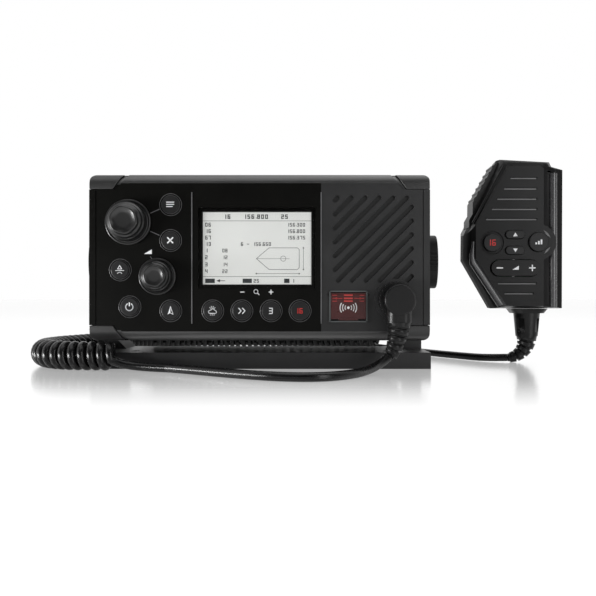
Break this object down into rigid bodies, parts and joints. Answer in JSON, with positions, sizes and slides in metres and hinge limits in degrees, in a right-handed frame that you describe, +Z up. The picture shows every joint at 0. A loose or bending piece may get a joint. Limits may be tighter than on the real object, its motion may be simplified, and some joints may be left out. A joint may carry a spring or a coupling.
{
  "type": "vhf marine radio",
  "caption": "Marine VHF radio in a gimbal bracket with side clamp knobs, face keys, knobs, a flapped distress key and a fist microphone on a curly cord.",
  "frame": {"origin": "centre of the bracket's footprint, on its underside, straight below the tilt axis", "axes": "+X to the right as seen from the front, -Y towards the user, +Z up"},
  "size_m": [0.3309, 0.2466, 0.1288],
  "materials": {
    "face_plastic": "fine moulded texture",
    "cap_plastic": "satin moulded",
    "window": "clear gloss",
    "screen": "pale lit screen in a dark frame",
    "board": "solder mask",
    "switch_metal": "satin",
    "encoder_metal": "satin",
    "speaker_parts": "matt",
    "key_rubber": "satin",
    "knob_plastic": "semi-gloss",
    "flap_red": "clear red gloss",
    "button_red": "satin",
    "steel": "satin",
    "plug_rubber": "satin moulded",
    "socket_plastic": "satin",
    "connector_metal": "plated",
    "seal_rubber": "matt",
    "chassis_metal": "fine powder coat",
    "bracket_plastic": "satin moulded",
    "clamp_plastic": "satin, grooved",
    "cord_rubber": "satin",
    "handset_plastic": "fine moulded texture",
    "ptt_rubber": "ribbed rubber"
  },
  "bodies": {
    "bracket": {"bracket": "bracket_plastic", "cord_front_lead": "cord_rubber", "cord_coil": "cord_rubber", "cord_back_lead": "cord_rubber"},
    "radio": {"front_bezel": "face_plastic", "corner_caps": "cap_plastic", "housing_screws": "steel", "display_window": "window", "lcd_module": "screen", "keypad_board": "board", "key_switches": "switch_metal", "channel_encoder": "encoder_metal", "volume_encoder": "encoder_metal", "speaker_driver": "speaker_parts", "mic_socket": "socket_plastic", "housing_gasket": "seal_rubber", "chassis": "chassis_metal", "main_board": "board", "rear_heatsink": "chassis_metal", "antenna_socket": "connector_metal", "network_socket": "socket_plastic", "power_inlet": "socket_plastic", "friction_washers": "seal_rubber", "distress_hinge_pin": "steel", "plug_body": "plug_rubber", "plug_boot": "plug_rubber"},
    "clamp_left": {"clamp_knob_left": "clamp_plastic"},
    "clamp_right": {"clamp_knob_right": "clamp_plastic"},
    "channel_plunger": {"channel_shaft": "encoder_metal"},
    "channel_dial": {"channel_knob": "knob_plastic"},
    "volume_plunger": {"volume_shaft": "encoder_metal"},
    "volume_dial": {"volume_knob": "knob_plastic"},
    "distress_flap": {"distress_cover": "flap_red"},
    "distress_push": {"distress_button": "button_red"},
    "plug_ring": {"plug_coupling_ring": "plug_rubber"},
    "handset": {"handset_front_shell": "handset_plastic", "handset_back_shell": "handset_plastic", "handset_screws": "steel", "handset_pins": "steel", "hang_stud": "handset_plastic", "mic_board": "board", "mic_speaker": "speaker_parts", "mic_capsule": "speaker_parts", "handset_boot": "plug_rubber"},
    "ptt": {"ptt_lever": "ptt_rubber"},
    "volume_rocker": {"vol_rocker": "key_rubber"},
    "menu_button": {"key_menu": "key_rubber"},
    "cancel_button": {"key_cancel": "key_rubber"},
    "ais_button": {"key_ais": "key_rubber"},
    "power_button": {"key_power": "key_rubber"},
    "navigation_button": {"key_navigation": "key_rubber"},
    "weather_button": {"key_weather": "key_rubber"},
    "scan_button": {"key_scan": "key_rubber"},
    "triple_watch_button": {"key_triple_watch": "key_rubber"},
    "channel_16_button": {"key_channel_16": "key_rubber"},
    "mic_16_button": {"key_mic_16": "key_rubber"},
    "mic_power_button": {"key_mic_power": "key_rubber"},
    "channel_up_button": {"key_channel_up": "key_rubber"},
    "channel_down_button": {"key_channel_down": "key_rubber"}
  },
  "joints": [
    {"name": "tilt", "type": "hinge", "parent": "bracket", "child": "radio", "pos_m": [0, 0, 0.0642], "axis": [1, 0, 0], "range_deg": [-12, 8], "deforming": ["cord_front_lead", "plug_boot"]},
    {"name": "clamp_left_turn", "type": "hinge", "parent": "radio", "child": "clamp_left", "pos_m": [-0.105, 0, 0.0642], "axis": [1, 0, 0], "continuous": true},
    {"name": "clamp_right_turn", "type": "hinge", "parent": "radio", "child": "clamp_right", "pos_m": [0.105, 0, 0.0642], "axis": [1, 0, 0], "continuous": true},
    {"name": "channel_push", "type": "slide", "parent": "radio", "child": "channel_plunger", "axis": [0, 1, 0], "range_m": [0, 0.0005], "stiffness_N_per_m": 1500},
    {"name": "channel_turn", "type": "hinge", "parent": "channel_plunger", "child": "channel_dial", "pos_m": [-0.0747, -0.056, 0.0841], "axis": [0, 1, 0], "continuous": true},
    {"name": "volume_push", "type": "slide", "parent": "radio", "child": "volume_plunger", "axis": [0, 1, 0], "range_m": [0, 0.0005], "stiffness_N_per_m": 1500},
    {"name": "volume_turn", "type": "hinge", "parent": "volume_plunger", "child": "volume_dial", "pos_m": [-0.05805, -0.056, 0.0532], "axis": [0, 1, 0], "continuous": true},
    {"name": "menu_press", "type": "slide", "parent": "radio", "child": "menu_button", "axis": [0, 1, 0], "range_m": [0, 0.0008], "stiffness_N_per_m": 600},
    {"name": "cancel_press", "type": "slide", "parent": "radio", "child": "cancel_button", "axis": [0, 1, 0], "range_m": [0, 0.0008], "stiffness_N_per_m": 600},
    {"name": "ais_press", "type": "slide", "parent": "radio", "child": "ais_button", "axis": [0, 1, 0], "range_m": [0, 0.0008], "stiffness_N_per_m": 600},
    {"name": "power_press", "type": "slide", "parent": "radio", "child": "power_button", "axis": [0, 1, 0], "range_m": [0, 0.0008], "stiffness_N_per_m": 600},
    {"name": "navigation_press", "type": "slide", "parent": "radio", "child": "navigation_button", "axis": [0, 1, 0], "range_m": [0, 0.0008], "stiffness_N_per_m": 600},
    {"name": "weather_press", "type": "slide", "parent": "radio", "child": "weather_button", "axis": [0, 1, 0], "range_m": [0, 0.0008], "stiffness_N_per_m": 600},
    {"name": "scan_press", "type": "slide", "parent": "radio", "child": "scan_button", "axis": [0, 1, 0], "range_m": [0, 0.0008], "stiffness_N_per_m": 600},
    {"name": "triple_watch_press", "type": "slide", "parent": "radio", "child": "triple_watch_button", "axis": [0, 1, 0], "range_m": [0, 0.0008], "stiffness_N_per_m": 600},
    {"name": "channel_16_press", "type": "slide", "parent": "radio", "child": "channel_16_button", "axis": [0, 1, 0], "range_m": [0, 0.0008], "stiffness_N_per_m": 600},
    {"name": "distress_flap_lift", "type": "hinge", "parent": "radio", "child": "distress_flap", "pos_m": [0.05055, -0.05, 0.0428], "axis": [1, 0, 0], "range_deg": [-100, 0], "stiffness_Nm_per_rad": 0.002, "springref_deg": 20.05},
    {"name": "distress_press", "type": "slide", "parent": "radio", "child": "distress_push", "axis": [0, 1, 0], "range_m": [0, 0.001], "stiffness_N_per_m": 800},
    {"name": "plug_ring_turn", "type": "hinge", "parent": "radio", "child": "plug_ring", "pos_m": [0.0775, -0.055, 0.0399], "axis": [0, 1, 0], "continuous": true},
    {"name": "handset_lift", "type": "slide", "parent": "bracket", "child": "handset", "axis": [0, 0, 1], "range_m": [0, 0.03]},
    {"name": "talk_squeeze", "type": "hinge", "parent": "handset", "child": "ptt", "pos_m": [0.13272, -0.003, 0.08708], "axis": [0, 1, 0], "range_deg": [0, 2.3], "stiffness_Nm_per_rad": 1.5, "springref_deg": -1.15},
    {"name": "mic_16_press", "type": "slide", "parent": "handset", "child": "mic_16_button", "axis": [0, 1, 0], "range_m": [0, 0.0005], "stiffness_N_per_m": 600},
    {"name": "mic_power_press", "type": "slide", "parent": "handset", "child": "mic_power_button", "axis": [0, 1, 0], "range_m": [0, 0.0005], "stiffness_N_per_m": 600},
    {"name": "channel_up_press", "type": "slide", "parent": "handset", "child": "channel_up_button", "axis": [0, 1, 0], "range_m": [0, 0.0005], "stiffness_N_per_m": 600},
    {"name": "channel_down_press", "type": "slide", "parent": "handset", "child": "channel_down_button", "axis": [0, 1, 0], "range_m": [0, 0.0005], "stiffness_N_per_m": 600},
    {"name": "volume_rock", "type": "hinge", "parent": "handset", "child": "volume_rocker", "pos_m": [0.1557, -0.015, 0.0595], "axis": [0, 0, 1], "range_deg": [-2.5, 2.5], "stiffness_Nm_per_rad": 0.5}
  ]
}
